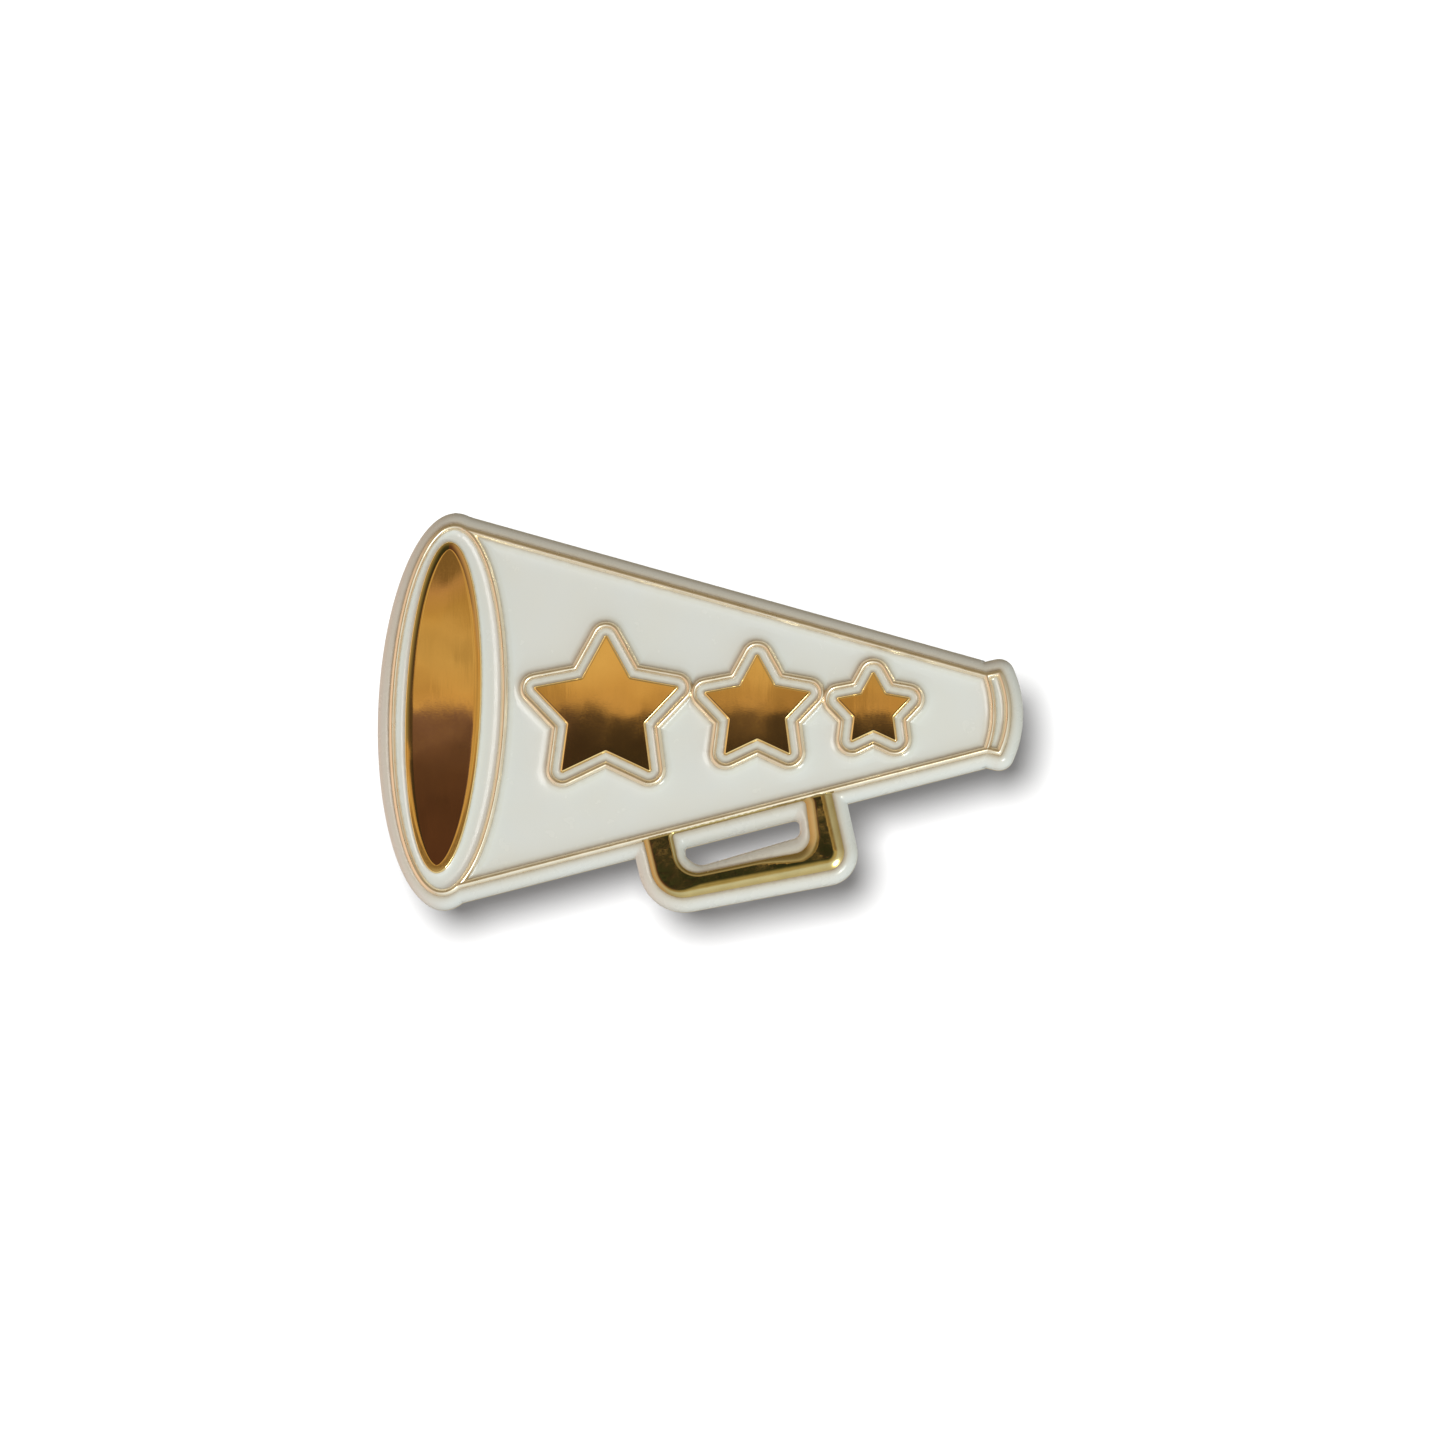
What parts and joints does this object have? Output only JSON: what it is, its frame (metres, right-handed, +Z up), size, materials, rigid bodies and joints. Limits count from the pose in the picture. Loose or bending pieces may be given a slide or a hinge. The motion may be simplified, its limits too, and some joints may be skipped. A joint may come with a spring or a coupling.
{
  "type": "megaphone lapel pin",
  "caption": "Megaphone-shaped enamel lapel pin: gold-plated plate with raised lines, white fills and a handle slot, held by posts with squeeze-open butterfly clutches.",
  "frame": {"origin": "on the flat back face of the base plate, at the middle of the outline's box", "axes": "+Z up as worn, +X from the wide mouth to the mouthpiece, +Y out of the back, so the decorated face looks towards -Y"},
  "size_m": [0.032, 0.0095, 0.0199],
  "materials": {
    "gold_plate": "polished",
    "white_enamel": "gloss",
    "post_brass": "polished",
    "clutch_brass": "polished",
    "spring_steel": "satin",
    "solder": "satin"
  },
  "bodies": {
    "pin": {"base_plate": "gold_plate", "enamel_body_panel": "white_enamel", "enamel_mouth_ring": "white_enamel", "enamel_mouthpiece_band": "white_enamel", "enamel_outer_border": "white_enamel", "enamel_slot_border": "white_enamel", "enamel_star_outline_1": "white_enamel", "enamel_star_outline_2": "white_enamel", "enamel_star_outline_3": "white_enamel", "post_left": "post_brass", "solder_left": "solder", "post_right": "post_brass", "solder_right": "solder"},
    "clutch_left": {"clutch_cap_left": "clutch_brass", "clutch_bridge_left": "clutch_brass", "clutch_spring_left": "spring_steel"},
    "wing_left_upper": {"wing_left_upper": "clutch_brass"},
    "wing_left_lower": {"wing_left_lower": "clutch_brass"},
    "clutch_right": {"clutch_cap_right": "clutch_brass", "clutch_bridge_right": "clutch_brass", "clutch_spring_right": "spring_steel"},
    "wing_right_inner": {"wing_right_inner": "clutch_brass"},
    "wing_right_outer": {"wing_right_outer": "clutch_brass"}
  },
  "joints": [
    {"name": "clutch_left_slide", "type": "slide", "parent": "pin", "child": "clutch_left", "axis": [0, 1, 0], "range_m": [-0.003, 0.005]},
    {"name": "clutch_right_slide", "type": "slide", "parent": "pin", "child": "clutch_right", "axis": [0, 1, 0], "range_m": [-0.003, 0.005]},
    {"name": "wing_left_upper_hinge", "type": "hinge", "parent": "clutch_left", "child": "wing_left_upper", "pos_m": [-0.0099, 0.0059, 0.0022], "axis": [-1, 0, 0], "range_deg": [0, 12], "stiffness_Nm_per_rad": 0.00002, "springref_deg": -28.65},
    {"name": "wing_left_lower_hinge", "type": "hinge", "parent": "clutch_left", "child": "wing_left_lower", "pos_m": [-0.0099, 0.0059, -0.0016], "axis": [1, 0, 0], "range_deg": [0, 12], "stiffness_Nm_per_rad": 0.00002, "springref_deg": -28.65},
    {"name": "wing_right_outer_hinge", "type": "hinge", "parent": "clutch_right", "child": "wing_right_outer", "pos_m": [0.0036, 0.0059, -0.0002], "axis": [0, 0, 1], "range_deg": [0, 12], "stiffness_Nm_per_rad": 0.00002, "springref_deg": -28.65},
    {"name": "wing_right_inner_hinge", "type": "hinge", "parent": "clutch_right", "child": "wing_right_inner", "pos_m": [-0.0002, 0.0059, -0.0002], "axis": [0, 0, -1], "range_deg": [0, 12], "stiffness_Nm_per_rad": 0.00002, "springref_deg": -28.65}
  ],
  "couplings": [
    {"joint": "wing_left_lower_hinge", "follows": "wing_left_upper_hinge", "ratio": 1},
    {"joint": "wing_right_inner_hinge", "follows": "wing_right_outer_hinge", "ratio": 1}
  ]
}
